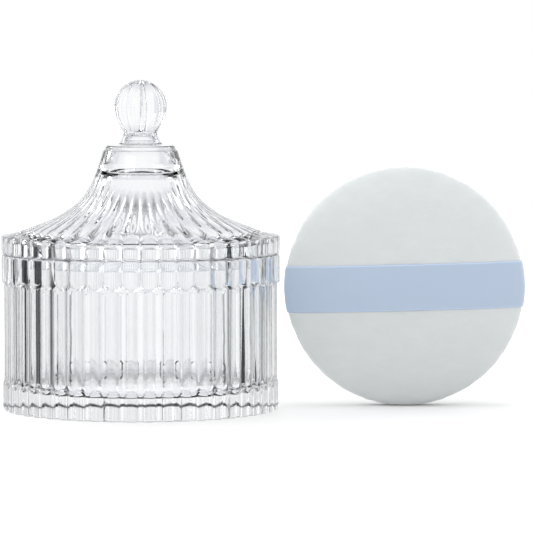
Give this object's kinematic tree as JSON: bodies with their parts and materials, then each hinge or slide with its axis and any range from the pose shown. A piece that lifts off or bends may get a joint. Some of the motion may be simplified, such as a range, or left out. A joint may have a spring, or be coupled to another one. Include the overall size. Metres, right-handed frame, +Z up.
{
  "type": "powder jar",
  "caption": "Ribbed clear-glass powder jar with a tent-shaped lifting lid and ball knob, and a round velour powder puff with a satin finger ribbon standing beside it.",
  "frame": {"origin": "centre of the flat face that the glass bowl stands on", "axes": "+Z up along the axis of the bowl and lid, -Y the front that the puff's ribbon faces, +X towards the puff"},
  "size_m": [0.1741, 0.092, 0.1089],
  "materials": {
    "bowl_glass": "clear pressed glass, fire polished",
    "lid_glass": "clear pressed glass, fire polished",
    "velour": "short soft pile",
    "foam": "soft wadding",
    "satin": "satin weave, glossy",
    "thread": "spun thread"
  },
  "bodies": {
    "bowl": {"bowl": "bowl_glass"},
    "lid": {"lid": "lid_glass"},
    "puff": {"puff_front_cover": "velour", "puff_back_cover": "velour", "puff_filling": "foam", "puff_ribbon": "satin", "puff_seam_thread": "thread"}
  },
  "joints": [
    {"name": "lid_lift", "type": "slide", "parent": "bowl", "child": "lid", "axis": [0, 0, 1], "range_m": [0, 0.08]},
    {"name": "puff_lift", "type": "slide", "parent": "bowl", "child": "puff", "axis": [0, 0, 1], "range_m": [0, 0.12]}
  ]
}
